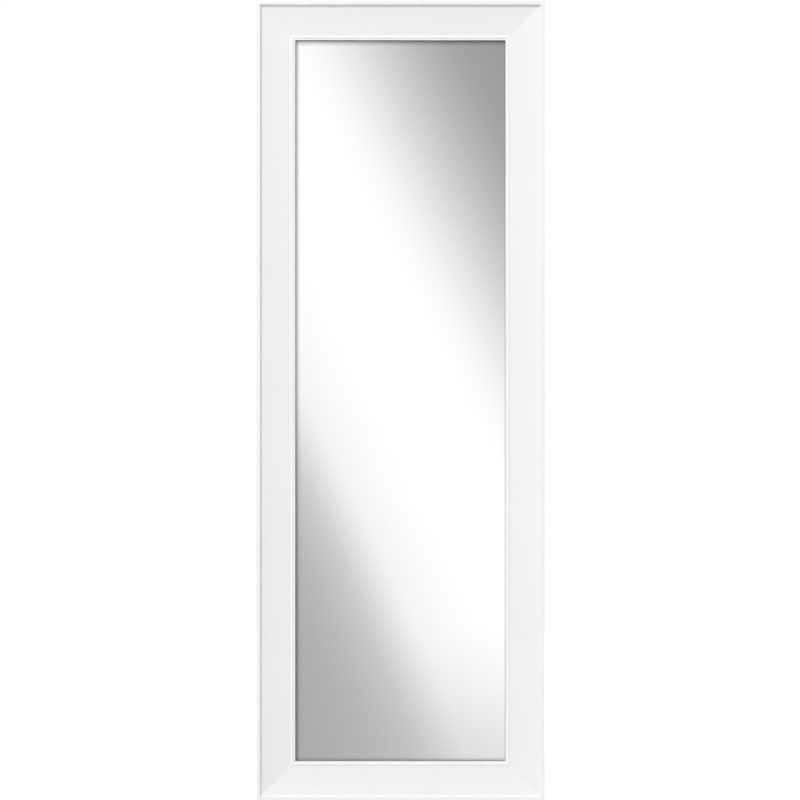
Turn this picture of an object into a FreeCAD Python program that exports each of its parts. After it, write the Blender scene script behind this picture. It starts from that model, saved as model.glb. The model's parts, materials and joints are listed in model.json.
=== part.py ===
import FreeCAD, Part

import math
import os
from typing import NamedTuple

from FreeCAD import Vector

# A tall mirror in a mitred moulding, standing upright on its foot pads.
# X runs across the mirror, Z up, and the glass faces -Y. Sizes are in millimetres.
# The origin is on the floor, under the middle of the mirror's width and depth.

# Frame, seen from the front
frame_width = 540.0
frame_height = 1500.0
moulding_width = 72.5

# Moulding section: from the sight edge outwards, and up from the back
lip_width = 3.2
lip_thickness = 4.4
sight_round = 0.8
bead_width = 5.8
bead_rise = 2.4
scoop_foot_rise = 0.6
scoop_rise = 6.4
scoop_sag = 0.7
step_width = 3.8
step_rise = 5.6
band_width = 7.0
band_round = 1.0
edge_round = 1.6
back_ease = 1.0

# Rebate, and the layers in it from the sight lip to the back
rebate_width = 6.0
tape_thickness = 0.5
tape_setback = 0.8
glass_thickness = 4.0
glass_arris = 0.5
glass_edge_gap = 2.0
coat_thickness = 0.1
interleaf_thickness = 3.0
board_thickness = 3.0
board_edge_gap = 1.0

# Blocks that carry and centre the glass in the rebate
block_length = 40.0
block_setback = 70.0
packer_length = 30.0
packer_setback = 200.0

# V-nails across the mitres
nail_leg = 8.0
nail_thickness = 0.8
nail_depth = 10.0
nail_spread = 110.0
nail_inner_setback = 20.0
nail_outer_setback = 22.0

# Pan head screws
shank_radius = 2.0
head_radius = 3.8
head_height = 2.4
head_edge = 0.8
screw_tip = 4.0
recess_width = 1.1
recess_length = 4.2
recess_depth = 1.3
pilot_clearance = 0.05
button_screw_length = 12.0
hanger_screw_length = 15.0

# Turn buttons that hold the backing board in
button_heel_radius = 7.0
button_tip_radius = 4.5
button_reach = 20.0
button_thickness = 1.5
button_tip_lift = 1.0
button_bend_length = 6.0
button_hole_clearance = 0.1
button_head_play = 0.1
button_setback = 9.0
button_end_margin = 180.0

# Hangers: a folded strap on each stile, with a D-ring in its eye
hanger_drop = 320.0
hanger_setback = 22.0
strap_width = 13.0
strap_sheet = 0.8
strap_fold = 2.0
strap_end_margin = 7.0
strap_screw_gap = 0.5
ring_wire_radius = 1.2
ring_eye_clearance = 0.1
ring_side_play = 1.0
ring_corner = 3.2
ring_leg = 11.0
ring_rest_gap = 0.3
ring_screw_gap = 2.0

# Rubber bumpers on the back, and foot pads under the bottom rail
bumper_radius = 9.0
bumper_tip_radius = 7.5
bumper_height = 6.0
bumper_round = 1.2
bumper_side_setback = 24.0
bumper_end_setback = 100.0
pad_length = 60.0
pad_width = 20.0
pad_thickness = 1.5
pad_corner = 4.0
pad_setback = 50.0

# How far a cutting solid reaches past what it cuts, and how close two ends of an outline count as one
cut_margin = 1.0
join_tolerance = 1e-6

# Depths and places that follow from the sizes above
rebate_depth = tape_thickness + glass_thickness + coat_thickness + interleaf_thickness + board_thickness
lip_front = rebate_depth + lip_thickness
scoop_foot = lip_front + scoop_foot_rise
scoop_top = scoop_foot + scoop_rise
frame_depth = scoop_top + step_rise
back_y = (frame_depth - bumper_height) / 2
front_y = back_y - frame_depth
sight_width = frame_width - 2 * moulding_width
sight_height = frame_height - 2 * moulding_width
middle_z = pad_thickness + frame_height / 2
rebate_half_x = sight_width / 2 + rebate_width
rebate_half_z = sight_height / 2 + rebate_width
glass_half_x = rebate_half_x - glass_edge_gap
glass_half_z = rebate_half_z - glass_edge_gap

# Each layer of the rebate, as the Y of its front and of its back
lip_back_y = back_y - rebate_depth
glass_y = lip_back_y + tape_thickness
coat_y = glass_y + glass_thickness
interleaf_y = coat_y + coat_thickness
board_y = interleaf_y + interleaf_thickness

# Hanger sizes that follow from the ring and its wire
strap_thickness = 2 * strap_sheet
eye_inner_radius = ring_wire_radius + ring_eye_clearance
eye_radius = eye_inner_radius + strap_sheet
ring_half_width = strap_width / 2 + ring_side_play + ring_corner
ring_reach = ring_leg + ring_half_width
shoulder_drop = eye_radius + strap_fold
near_screw_drop = shoulder_drop + strap_screw_gap + head_radius
far_screw_drop = ring_reach + ring_wire_radius + ring_screw_gap + head_radius
strap_length = far_screw_drop + strap_end_margin
ring_lift = strap_thickness + ring_rest_gap + ring_wire_radius - eye_radius
ring_rest_angle = math.degrees(math.asin(ring_lift / ring_reach))


class Outline:
    """An outline drawn point by point with straight runs and arcs."""

    def __init__(self, start):
        self.start = start
        self.here = start
        self.edges = []

    def line_to(self, point):
        self.edges.append(Part.LineSegment(self.here, point).toShape())
        self.here = point

    def arc_to(self, middle, point):
        self.edges.append(Part.Arc(self.here, middle, point).toShape())
        self.here = point

    def round_at(self, corner, after, radius):
        """Run towards a corner and round it, to carry on towards the point after it."""
        back = (self.here - corner).normalize()
        onward = (after - corner).normalize()
        half_angle = back.getAngle(onward) / 2
        reach = radius / math.tan(half_angle)
        bisector = (back + onward).normalize()
        middle = corner + bisector * (radius / math.sin(half_angle) - radius)
        self.line_to(corner + back * reach)
        self.arc_to(middle, corner + onward * reach)

    def wire(self):
        if not self.here.isEqual(self.start, join_tolerance):
            self.line_to(self.start)
        return Part.Wire(self.edges)

    def face(self):
        return Part.Face(self.wire())


class Side(NamedTuple):
    """One side of the frame: its turn about Y from the bottom, and the sight opening along and across it."""

    turn: float
    along: float
    across: float


sides = {
    "bottom": Side(0, sight_width, sight_height),
    "left": Side(90, sight_height, sight_width),
    "top": Side(180, sight_width, sight_height),
    "right": Side(270, sight_height, sight_width),
}
side_signs = {"left": -1, "right": 1}
end_signs = {"bottom": -1, "top": 1}


def box_between(low, high):
    """A box from its low corner to its high corner."""
    size = high - low
    return Part.makeBox(size.x, size.y, size.z, low)


def revolved(outline):
    """A solid turned from half a section in the XY plane about the Y axis."""
    return outline.face().revolve(Vector(0, 0, 0), Vector(0, 1, 0), 360)


def moulding_section(x):
    """The moulding's section at a place along a rail whose sight edge lies on Z = 0."""

    def at(outwards, height):
        return Vector(x, back_y - height, -outwards)

    bead_end = lip_width + bead_width
    band_start = moulding_width - band_width
    scoop_end = band_start - step_width
    pen = Outline(at(rebate_width, 0))
    pen.line_to(at(rebate_width, rebate_depth))
    pen.line_to(at(0, rebate_depth))
    pen.round_at(at(0, lip_front), at(lip_width, lip_front), sight_round)
    pen.line_to(at(lip_width, lip_front))
    pen.arc_to(at(lip_width + bead_width / 2, lip_front + bead_rise), at(bead_end, scoop_foot))
    scoop_middle = at((bead_end + scoop_end) / 2, (scoop_foot + scoop_top) / 2 - scoop_sag)
    pen.arc_to(scoop_middle, at(scoop_end, scoop_top))
    pen.round_at(at(band_start, frame_depth), at(moulding_width, frame_depth), band_round)
    pen.round_at(at(moulding_width, frame_depth), at(moulding_width, 0), edge_round)
    pen.line_to(at(moulding_width, back_ease))
    pen.line_to(at(moulding_width - back_ease, 0))
    return pen.face()


def mitred_rail(side):
    """One side of the frame: the moulding run along the side, cut at 45 degrees at both ends."""
    reach = moulding_width + cut_margin
    half = side.along / 2
    bar = moulding_section(-half - reach).extrude(Vector(2 * (half + reach), 0, 0))
    front = front_y - cut_margin
    corners = [
        Vector(cut_margin - half, front, cut_margin),
        Vector(half - cut_margin, front, cut_margin),
        Vector(half + reach, front, -reach),
        Vector(-half - reach, front, -reach),
    ]
    mitre = Part.Face(Part.makePolygon(corners + corners[:1]))
    rail = bar.common(mitre.extrude(Vector(0, frame_depth + 2 * cut_margin, 0)))
    rail.translate(Vector(0, 0, -side.across / 2))
    rail.rotate(Vector(0, 0, 0), Vector(0, 1, 0), side.turn)
    rail.translate(Vector(0, 0, middle_z))
    return rail


def v_nail(side_sign, end_sign, outwards):
    """A V-nail driven in from the back, its point on the mitre and one leg in each rail."""
    point = Vector(
        side_sign * (sight_width / 2 + outwards), back_y, middle_z + end_sign * (sight_height / 2 + outwards)
    )
    inward = Vector(-side_sign, 0, -end_sign).normalize()
    half_spread = math.radians(nail_spread / 2)
    across = Vector(inward.z, 0, -inward.x)
    ends = []
    for hand in (-1, 1):
        leg = inward * math.cos(half_spread) + across * (hand * math.sin(half_spread))
        inner_face = inward * math.sin(half_spread) - across * (hand * math.cos(half_spread))
        outer_end = point + leg * nail_leg
        ends.append((outer_end, outer_end + inner_face * nail_thickness))
    crotch = point + inward * (nail_thickness / math.sin(half_spread))
    corners = [point, ends[0][0], ends[0][1], crotch, ends[1][1], ends[1][0], point]
    return Part.Face(Part.makePolygon(corners)).extrude(Vector(0, -nail_depth, 0))


def corner_nails():
    """Two V-nails in each corner of the frame."""
    places = (rebate_width + nail_inner_setback, moulding_width - nail_outer_setback)
    nails = []
    for side_sign in side_signs.values():
        for end_sign in end_signs.values():
            nails.extend(v_nail(side_sign, end_sign, place) for place in places)
    return nails


def pan_screw(seat, length):
    """A pan head screw pointing along -Y, with the underside of its head at the seat."""
    dome = head_height - head_edge
    dome_radius = (head_radius**2 + dome**2) / (2 * dome)
    half_angle = math.asin(head_radius / dome_radius) / 2
    crown = Vector(
        dome_radius * math.sin(half_angle), head_height - dome_radius * (1 - math.cos(half_angle)), 0
    )
    pen = Outline(Vector(0, -length, 0))
    pen.line_to(Vector(shank_radius, screw_tip - length, 0))
    pen.line_to(Vector(shank_radius, 0, 0))
    pen.line_to(Vector(head_radius, 0, 0))
    pen.line_to(Vector(head_radius, head_edge, 0))
    pen.arc_to(crown, Vector(0, head_height, 0))
    screw = revolved(pen)
    slot_low = Vector(-recess_length / 2, head_height - recess_depth, -recess_width / 2)
    slot_high = Vector(recess_length / 2, head_height + cut_margin, recess_width / 2)
    slot = box_between(slot_low, slot_high)
    cross_slot = slot.copy()
    cross_slot.rotate(Vector(0, 0, 0), Vector(0, 1, 0), 90)
    screw = screw.cut(slot.fuse(cross_slot))
    screw.translate(seat)
    return screw


def pilot_hole(place, depth):
    """The hole that a screw takes in the wood, from the back of the frame."""
    mouth = place + Vector(0, cut_margin, 0)
    return Part.makeCylinder(
        shank_radius + pilot_clearance, depth + pilot_clearance + cut_margin, mouth, Vector(0, -1, 0)
    )


class ButtonPlace(NamedTuple):
    """Where a turn button's screw enters the back of the frame, and the way to the glass from there."""

    pivot: Vector
    inward: Vector


def button_places():
    """A place for every turn button, by name."""
    pivot_x = rebate_half_x + button_setback
    pivot_z = rebate_half_z + button_setback
    top_height = sight_height / 2 - button_end_margin
    places = {
        "top": ButtonPlace(Vector(0, back_y, middle_z + pivot_z), Vector(0, 0, -1)),
        "bottom": ButtonPlace(Vector(0, back_y, middle_z - pivot_z), Vector(0, 0, 1)),
    }
    heights = {"low": -top_height, "middle": 0, "high": top_height}
    for side_name, sign in side_signs.items():
        for level, height in heights.items():
            pivot = Vector(sign * pivot_x, back_y, middle_z + height)
            places[f"{side_name}_{level}"] = ButtonPlace(pivot, Vector(-sign, 0, 0))
    return places


def turn_button(place):
    """A stamped teardrop plate that turns on its screw, its tip bent up to slide over the board."""
    lean = (button_heel_radius - button_tip_radius) / button_reach
    spread = math.sqrt(1 - lean**2)
    heel_side = Vector(button_heel_radius * spread, 0, button_heel_radius * lean)
    tip_side = Vector(button_tip_radius * spread, 0, button_reach + button_tip_radius * lean)
    tip_end = button_reach + button_tip_radius
    pen = Outline(Vector(-heel_side.x, 0, heel_side.z))
    pen.arc_to(Vector(0, 0, -button_heel_radius), heel_side)
    pen.line_to(tip_side)
    pen.arc_to(Vector(0, 0, tip_end), Vector(-tip_side.x, 0, tip_side.z))
    plan = pen.face().extrude(Vector(0, button_thickness + button_tip_lift, 0))

    width = 2 * button_heel_radius
    bend = tip_end - button_bend_length
    left = -button_heel_radius
    strip_points = [
        Vector(left, 0, left),
        Vector(left, 0, bend),
        Vector(left, button_tip_lift, tip_end),
        Vector(left, button_tip_lift + button_thickness, tip_end),
        Vector(left, button_thickness, bend),
        Vector(left, button_thickness, left),
        Vector(left, 0, left),
    ]
    strip = Part.Face(Part.makePolygon(strip_points)).extrude(Vector(width, 0, 0))

    hole_radius = shank_radius + button_hole_clearance
    hole_length = button_thickness + 2 * cut_margin
    hole = Part.makeCylinder(hole_radius, hole_length, Vector(0, -cut_margin, 0), Vector(0, 1, 0))
    button = plan.common(strip).cut(hole)
    turn = math.degrees(math.atan2(place.inward.x, place.inward.z))
    button.rotate(Vector(0, 0, 0), Vector(0, 1, 0), turn)
    button.translate(place.pivot)
    return button


def hanger_pivot(sign):
    """The middle of a D-ring's bar, in the eye of the strap on one stile."""
    x = sign * (frame_width / 2 - hanger_setback)
    z = middle_z + frame_height / 2 - hanger_drop
    return Vector(x, back_y + eye_radius, z)


def strap_screw_places(sign):
    """Where the two screws of a hanger strap enter the back of the stile."""
    pivot = hanger_pivot(sign)
    return [Vector(pivot.x, back_y, pivot.z - drop) for drop in (near_screw_drop, far_screw_drop)]


def hanger_strap(sign):
    """A strip folded round the bar of the D-ring, its two layers lying flat on the stile."""
    half = strap_width / 2
    shoulder = Vector(-half, strap_thickness - eye_radius, -shoulder_drop)
    from_eye = math.hypot(shoulder.y, shoulder.z)
    touch_angle = math.atan2(shoulder.z, shoulder.y) + math.acos(eye_radius / from_eye)
    touch = Vector(-half, eye_radius * math.cos(touch_angle), eye_radius * math.sin(touch_angle))
    pen = Outline(Vector(-half, -eye_radius, 0))
    pen.line_to(Vector(-half, -eye_radius, -strap_length))
    pen.line_to(Vector(-half, strap_thickness - eye_radius, -strap_length))
    pen.line_to(shoulder)
    pen.line_to(touch)
    pen.arc_to(Vector(-half, 0, eye_radius), pen.start)
    folded = pen.face().extrude(Vector(strap_width, 0, 0))

    corner_z = half - strap_length
    end = Outline(Vector(-half, -eye_radius, eye_radius))
    end.line_to(Vector(half, -eye_radius, eye_radius))
    end.line_to(Vector(half, -eye_radius, corner_z))
    end.arc_to(Vector(0, -eye_radius, -strap_length), Vector(-half, -eye_radius, corner_z))
    strap = folded.common(end.face().extrude(Vector(0, 2 * eye_radius, 0)))

    eye = Part.makeCylinder(
        eye_inner_radius, strap_width + 2 * cut_margin, Vector(-half - cut_margin, 0, 0), Vector(1, 0, 0)
    )
    strap = strap.cut(eye)
    strap.translate(hanger_pivot(sign))
    for place in strap_screw_places(sign):
        strap = strap.cut(pilot_hole(place + Vector(0, strap_thickness, 0), strap_thickness + cut_margin))
    return strap


def hanger_ring(sign):
    """A D-ring of bent wire, hanging from its bar until it rests on the strap."""
    bar_end = Vector(ring_half_width, 0, 0)
    leg_end = Vector(ring_half_width, 0, -ring_leg)
    far_bar_end = Vector(-ring_half_width, 0, 0)
    far_leg_end = Vector(-ring_half_width, 0, -ring_leg)
    pen = Outline(Vector(0, 0, 0))
    pen.round_at(bar_end, leg_end, ring_corner)
    pen.line_to(leg_end)
    pen.arc_to(Vector(0, 0, -ring_reach), far_leg_end)
    pen.round_at(far_bar_end, pen.start, ring_corner)
    section = Part.Circle(pen.start, Vector(1, 0, 0), ring_wire_radius).toShape()
    ring = pen.wire().makePipeShell([Part.Wire(section)], True, False)
    ring.rotate(Vector(0, 0, 0), Vector(1, 0, 0), ring_rest_angle)
    ring.translate(hanger_pivot(sign))
    return ring


def wall_bumper(side_sign, end_sign):
    """A moulded rubber bumper on the back of a stile."""
    pen = Outline(Vector(0, 0, 0))
    pen.line_to(Vector(bumper_radius, 0, 0))
    pen.round_at(Vector(bumper_tip_radius, bumper_height, 0), Vector(0, bumper_height, 0), bumper_round)
    pen.line_to(Vector(0, bumper_height, 0))
    bumper = revolved(pen)
    x = side_sign * (frame_width / 2 - bumper_side_setback)
    z = middle_z + end_sign * (frame_height / 2 - bumper_end_setback)
    bumper.translate(Vector(x, back_y, z))
    return bumper


def foot_pad(sign):
    """A flat rubber pad with rounded corners under one end of the bottom rail."""
    middle = Vector(sign * (frame_width / 2 - pad_setback - pad_length / 2), (front_y + back_y) / 2, 0)
    x = pad_length / 2
    y = pad_width / 2
    corners = [middle + Vector(*corner) for corner in ((x, -y, 0), (x, y, 0), (-x, y, 0), (-x, -y, 0))]
    pen = Outline(middle + Vector(0, -y, 0))
    for corner, after in zip(corners, corners[1:] + corners[:1]):
        pen.round_at(corner, after, pad_corner)
    return pen.face().extrude(Vector(0, 0, pad_thickness))


def glazing_tapes():
    """Strips on the back of the sight lip: the level ones run into the corners, the upright ones between."""
    tapes = {}
    near_x = sight_width / 2 + tape_setback
    near_z = sight_height / 2 + tape_setback
    for name, sign in end_signs.items():
        z_ends = sorted((middle_z + sign * near_z, middle_z + sign * rebate_half_z))
        low = Vector(-rebate_half_x, lip_back_y, z_ends[0])
        tapes[name] = box_between(low, Vector(rebate_half_x, glass_y, z_ends[1]))
    for name, sign in side_signs.items():
        x_ends = sorted((sign * near_x, sign * rebate_half_x))
        low = Vector(x_ends[0], lip_back_y, middle_z - near_z)
        tapes[name] = box_between(low, Vector(x_ends[1], glass_y, middle_z + near_z))
    return tapes


def sheet(half_x, half_z, front, back):
    """A flat sheet centred in the rebate."""
    return box_between(Vector(-half_x, front, middle_z - half_z), Vector(half_x, back, middle_z + half_z))


def mirror_glass():
    """The pane, with its sharp edges taken off all round on both faces."""
    pane = sheet(glass_half_x, glass_half_z, glass_y, coat_y)
    face_edges = [edge for edge in pane.Edges if edge.Vertexes[0].Y == edge.Vertexes[1].Y]
    return pane.makeChamfer(glass_arris, face_edges)


def setting_blocks():
    """Two blocks on the floor of the rebate, which carry the glass."""
    blocks = []
    for sign in side_signs.values():
        middle_x = sign * (glass_half_x - block_setback)
        low = Vector(middle_x - block_length / 2, glass_y, middle_z - rebate_half_z)
        blocks.append(box_between(low, low + Vector(block_length, glass_thickness, glass_edge_gap)))
    return blocks


def side_packers():
    """Packers that centre the glass between the stiles, two on each side."""
    packers = []
    for side_sign in side_signs.values():
        low_x = min(side_sign * glass_half_x, side_sign * rebate_half_x)
        for end_sign in end_signs.values():
            z = middle_z + end_sign * (glass_half_z - packer_setback) - packer_length / 2
            low = Vector(low_x, glass_y, z)
            packers.append(box_between(low, low + Vector(glass_edge_gap, glass_thickness, packer_length)))
    return packers


def screws_and_holes():
    """The screws of the turn buttons, those of the hangers, and the pilot holes that all of them take."""
    button_seat = Vector(0, button_thickness + button_head_play, 0)
    strap_seat = Vector(0, strap_thickness, 0)
    button_screws = []
    hanger_screws = []
    holes = []
    for place in button_places().values():
        button_screws.append(pan_screw(place.pivot + button_seat, button_screw_length))
        holes.append(pilot_hole(place.pivot, button_screw_length - button_seat.y))
    for sign in side_signs.values():
        for place in strap_screw_places(sign):
            hanger_screws.append(pan_screw(place + strap_seat, hanger_screw_length))
            holes.append(pilot_hole(place, hanger_screw_length - strap_seat.y))
    return button_screws, hanger_screws, holes


def frame_sides(fastener_space):
    """The four mitred sides, with room cut in their backs for the fasteners."""
    names = {
        "bottom": "frame_bottom_rail",
        "left": "frame_left_stile",
        "top": "frame_top_rail",
        "right": "frame_right_stile",
    }
    return {names[name]: mitred_rail(side).cut(fastener_space) for name, side in sides.items()}


def all_nodes():
    """Every piece of the mirror by its name."""
    nails = corner_nails()
    button_screws, hanger_screws, holes = screws_and_holes()
    nodes = frame_sides(nails + holes)
    nodes["corner_v_nails"] = Part.makeCompound(nails)
    for name, tape in glazing_tapes().items():
        nodes[f"glazing_tape_{name}"] = tape
    nodes["mirror_glass"] = mirror_glass()
    nodes["silver_coat"] = sheet(glass_half_x - glass_arris, glass_half_z - glass_arris, coat_y, interleaf_y)
    nodes["setting_blocks"] = Part.makeCompound(setting_blocks())
    nodes["side_packers"] = Part.makeCompound(side_packers())
    nodes["interleaf_sheet"] = sheet(glass_half_x, glass_half_z, interleaf_y, board_y)
    board_half_x = rebate_half_x - board_edge_gap
    board_half_z = rebate_half_z - board_edge_gap
    nodes["backing_board"] = sheet(board_half_x, board_half_z, board_y, back_y)
    for name, place in button_places().items():
        nodes[f"turn_button_{name}"] = turn_button(place)
    nodes["turn_button_screws"] = Part.makeCompound(button_screws)
    for name, sign in side_signs.items():
        nodes[f"hanger_strap_{name}"] = hanger_strap(sign)
        nodes[f"hanger_ring_{name}"] = hanger_ring(sign)
        nodes[f"foot_pad_{name}"] = foot_pad(sign)
        for end_name, end_sign in end_signs.items():
            nodes[f"wall_bumper_{end_name}_{name}"] = wall_bumper(sign, end_sign)
    nodes["hanger_screws"] = Part.makeCompound(hanger_screws)
    return nodes


os.makedirs("parts", exist_ok=True)
for node_name, node_shape in all_nodes().items():
    if not node_shape.isValid():
        raise ValueError(f"{node_name} is not a valid shape")
    node_shape.exportStep(f"parts/{node_name}.step")
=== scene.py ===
import functools
import json
import logging
import math
from contextlib import contextmanager
from dataclasses import dataclass
from enum import Enum
from typing import Callable, Iterator, Sequence, Union

import bmesh
import bpy
from mathutils import Matrix, Vector


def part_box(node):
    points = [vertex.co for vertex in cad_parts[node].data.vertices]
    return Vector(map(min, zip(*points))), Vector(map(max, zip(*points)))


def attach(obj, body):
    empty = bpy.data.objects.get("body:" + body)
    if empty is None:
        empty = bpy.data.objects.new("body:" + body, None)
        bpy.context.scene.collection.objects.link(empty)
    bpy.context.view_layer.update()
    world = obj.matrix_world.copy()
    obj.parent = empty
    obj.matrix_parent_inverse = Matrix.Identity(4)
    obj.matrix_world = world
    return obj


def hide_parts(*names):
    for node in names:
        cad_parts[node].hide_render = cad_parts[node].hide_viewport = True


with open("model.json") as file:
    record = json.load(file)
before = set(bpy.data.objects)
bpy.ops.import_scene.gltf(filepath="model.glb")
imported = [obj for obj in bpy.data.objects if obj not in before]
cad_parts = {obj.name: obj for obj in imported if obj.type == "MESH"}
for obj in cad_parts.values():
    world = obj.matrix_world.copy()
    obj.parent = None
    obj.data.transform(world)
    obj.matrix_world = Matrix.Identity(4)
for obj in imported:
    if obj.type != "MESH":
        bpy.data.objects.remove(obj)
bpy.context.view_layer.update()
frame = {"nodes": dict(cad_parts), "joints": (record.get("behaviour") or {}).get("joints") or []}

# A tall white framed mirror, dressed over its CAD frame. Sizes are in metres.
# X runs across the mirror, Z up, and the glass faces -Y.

Socket = bpy.types.NodeSocket
Value = Union[float, Sequence[float], Socket]
Inputs = dict[Union[str, int], Value]
Triple = tuple[float, float, float]
Colour = Triple
Scale = Union[float, Triple]
Span = tuple[float, float]
Spot = Sequence[float]

MERGE_REACH = 1e-6
FULL_TURN = 2 * math.pi
QUARTER_TURN = math.pi / 2
SHARP_EDGE = math.radians(50)
# How far the wave texture runs, in its own units, from one wave to the next.
WAVE_LENGTH = math.pi / 10
# How far a part of a face's normal may be off.
NEAR = 0.1
# The values of a noise between which a tone changes.
SOFT: Span = (0.3, 0.7)
WIDE: Span = (0.2, 0.8)
WHITE: Colour = (1.0, 1.0, 1.0)
BLACK: Colour = (0.0, 0.0, 0.0)
ORIGIN = Vector((0, 0, 0))
ACROSS = Vector((1, 0, 0))
BACK = Vector((0, 1, 0))
UP = Vector((0, 0, 1))

log = logging.getLogger("floor_mirror")


class Run(Enum):
    """The way that a side of the frame, and the grain of its wood, runs."""

    LEVEL = "level"
    UPRIGHT = "upright"

    def stretched(self, across: float, along: float) -> Triple:
        """A texture's scale with one value across the grain and another along it."""
        return (along, across, across) if self is Run.LEVEL else (across, across, along)


class Pick(Enum):
    """What is picked in edit mode, by the name of its list in the mesh."""

    VERT = "verts"
    EDGE = "edges"
    FACE = "faces"


class Graph:
    """The nodes of one material or of the world, added and joined by short calls."""

    def __init__(self, owner: Union[bpy.types.Material, bpy.types.World]) -> None:
        """Start with no nodes.

        Args:
            owner: The material or world that the nodes are for.
        """
        owner.use_nodes = True
        self.owner = owner
        self.tree = owner.node_tree
        self.tree.nodes.clear()

    @classmethod
    def named(cls, name: str) -> "Graph":
        """Start a new material."""
        return cls(bpy.data.materials.new(name))

    def add(self, kind: str, inputs: Inputs, **settings: str) -> bpy.types.Node:
        """Add a node.

        Args:
            kind: The node's Blender type, without the ShaderNode that it starts with.
            inputs: Its inputs by name or number, each with a socket to join to it or a constant.
            settings: Its own settings, such as its operation.

        Returns:
            The new node.
        """
        node = self.tree.nodes.new(f"ShaderNode{kind}")
        for name, value in settings.items():
            setattr(node, name, value)
        for name, value in inputs.items():
            if isinstance(value, Socket):
                self.tree.links.new(value, node.inputs[name])
            else:
                node.inputs[name].default_value = value
        return node

    def place(self) -> Socket:
        """The place on the piece, in metres."""
        return self.add("TexCoord", {}).outputs["Object"]

    def split(self, vector: Socket) -> tuple[Socket, ...]:
        """A vector as X, Y and Z."""
        return tuple(self.add("SeparateXYZ", {"Vector": vector}).outputs)

    def scaled(self, scale: Scale) -> Socket:
        """The place on the piece in pattern units, so many to a metre on every axis or on each one."""
        scales = scale if isinstance(scale, tuple) else (scale, scale, scale)
        return self.add("Mapping", {"Vector": self.place(), "Scale": scales}).outputs["Vector"]

    def noise(self, scale: Scale, detail: float = 3.0, roughness: float = 0.5) -> Socket:
        """Cloudy noise from about 0 to 1, with so many clouds to a metre."""
        inputs = {"Vector": self.scaled(scale), "Scale": 1.0, "Detail": detail, "Roughness": roughness}
        return self.add("TexNoise", inputs).outputs["Fac"]

    def stripes(self, pitch: float, axis: str, bend: float = 0.0) -> Socket:
        """Parallel bands from 0 to 1 that follow each other along an axis, bent by noise."""
        inputs = {"Vector": self.scaled(WAVE_LENGTH / pitch), "Scale": 1.0, "Distortion": bend}
        return self.add("TexWave", inputs, bands_direction=axis).outputs["Fac"]

    def weave(self, operation: str, pitch: float, bend: float = 0.0) -> Socket:
        """Threads across and upright threads, put together by a sum."""
        across, upright = (self.stripes(pitch, axis, bend) for axis in "XZ")
        return self.math(operation, across, upright)

    def math(self, operation: str, first: Value, second: Value = 0.0) -> Socket:
        """One sum on one or two values."""
        return self.add("Math", {0: first, 1: second}, operation=operation).outputs[0]

    def times(self, *values: Value) -> Socket:
        """All the values multiplied."""
        return functools.reduce(functools.partial(self.math, "MULTIPLY"), values)

    def total(self, *terms: tuple[Socket, float]) -> Socket:
        """The sum of some values, each times its share."""
        shares = [self.times(value, share) for value, share in terms]
        return functools.reduce(functools.partial(self.math, "ADD"), shares)

    def ease(self, value: Value, low: float, high: float, start: float = 0.0, end: float = 1.0) -> Socket:
        """A value eased from a start, held below a low mark, to an end, held above a high mark."""
        inputs = {"Value": value, "From Min": low, "From Max": high, "To Min": start, "To Max": end}
        return self.add("MapRange", inputs, interpolation_type="SMOOTHSTEP").outputs["Result"]

    def mix(self, share: Value, first: Value, second: Value, blend: str = "MIX") -> Socket:
        """A blend of two colours.

        Args:
            share: How much of the second colour there is.
            first: The first colour.
            second: The second colour.
            blend: The Mix node's way of blending.

        Returns:
            The blended colour.
        """
        colours = [value if isinstance(value, Socket) else (*value, 1.0) for value in (first, second)]
        inputs = {0: share, 6: colours[0], 7: colours[1]}
        return self.add("Mix", inputs, data_type="RGBA", blend_type=blend).outputs[2]

    def bump(self, height: Socket, depth: float) -> Socket:
        """The normal of a relief from 0 to 1, where 1 stands a depth above 0."""
        return self.add("Bump", {"Height": height, "Distance": depth}).outputs["Normal"]

    def shaded(self, inputs: Inputs) -> bpy.types.Material:
        """Finish the material with a Principled shader."""
        return self.ended(self.add("BsdfPrincipled", inputs).outputs["BSDF"])

    def ended(self, surface: Socket) -> bpy.types.Material:
        """Finish the material with a surface of its own."""
        self.add("OutputMaterial", {"Surface": surface})
        return self.owner


class Finish:
    """What the outside of a piece is made of."""

    @functools.cache
    def made(self) -> bpy.types.Material:
        """The finish as a material, built when it is first asked for."""
        return self.material()

    def material(self) -> bpy.types.Material:
        """Build the material."""
        raise NotImplementedError


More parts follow.
